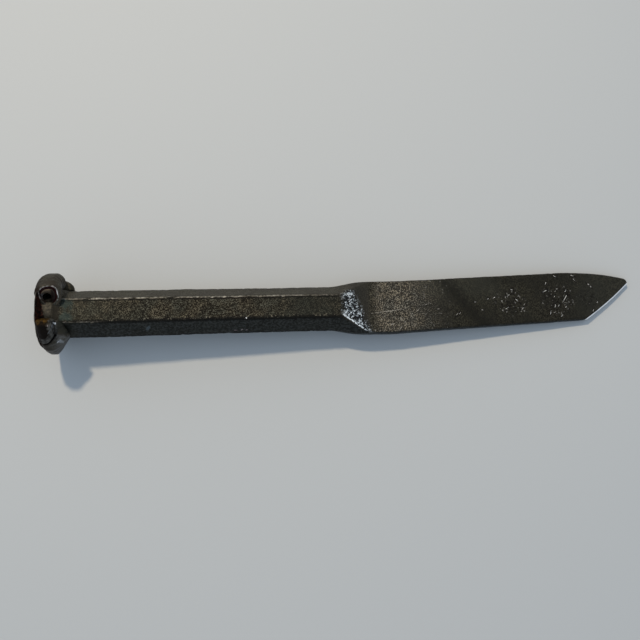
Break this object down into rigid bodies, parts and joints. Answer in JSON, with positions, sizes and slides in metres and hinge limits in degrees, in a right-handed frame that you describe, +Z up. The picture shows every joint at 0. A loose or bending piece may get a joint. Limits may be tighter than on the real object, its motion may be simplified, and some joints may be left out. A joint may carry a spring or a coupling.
{
  "type": "stone chisel",
  "caption": "Hand-forged stone chisel lying at rest: hexagon bar with a mushroomed struck head and curled burr lips, a flattened neck, and a flat tapering blade with a slanted ground edge.",
  "frame": {"origin": "on the surface that the chisel lies on, under the middle of its box", "axes": "+X from the struck face towards the tip, +Z up, +Y towards the side that the tip leans to"},
  "size_m": [0.243, 0.032, 0.0309],
  "materials": {
    "struck_steel": "dark steel, dented and partly polished by hammer blows",
    "rolled_burr": "dark steel lips, rubbed smooth, with rust in the folds",
    "forged_steel": "dark forge scale, pitted, with rubbed corners",
    "ground_steel": "dark blade steel with a narrow bright ground edge"
  },
  "bodies": {
    "root": {"striking_head": "struck_steel", "burr_lip_far": "rolled_burr", "burr_lip_back": "rolled_burr", "burr_lip_near": "rolled_burr", "burr_lip_side": "rolled_burr", "burr_lip_under": "rolled_burr", "shank": "forged_steel", "neck": "forged_steel", "blade": "forged_steel", "cutting_edge": "ground_steel"}
  },
  "joints": []
}
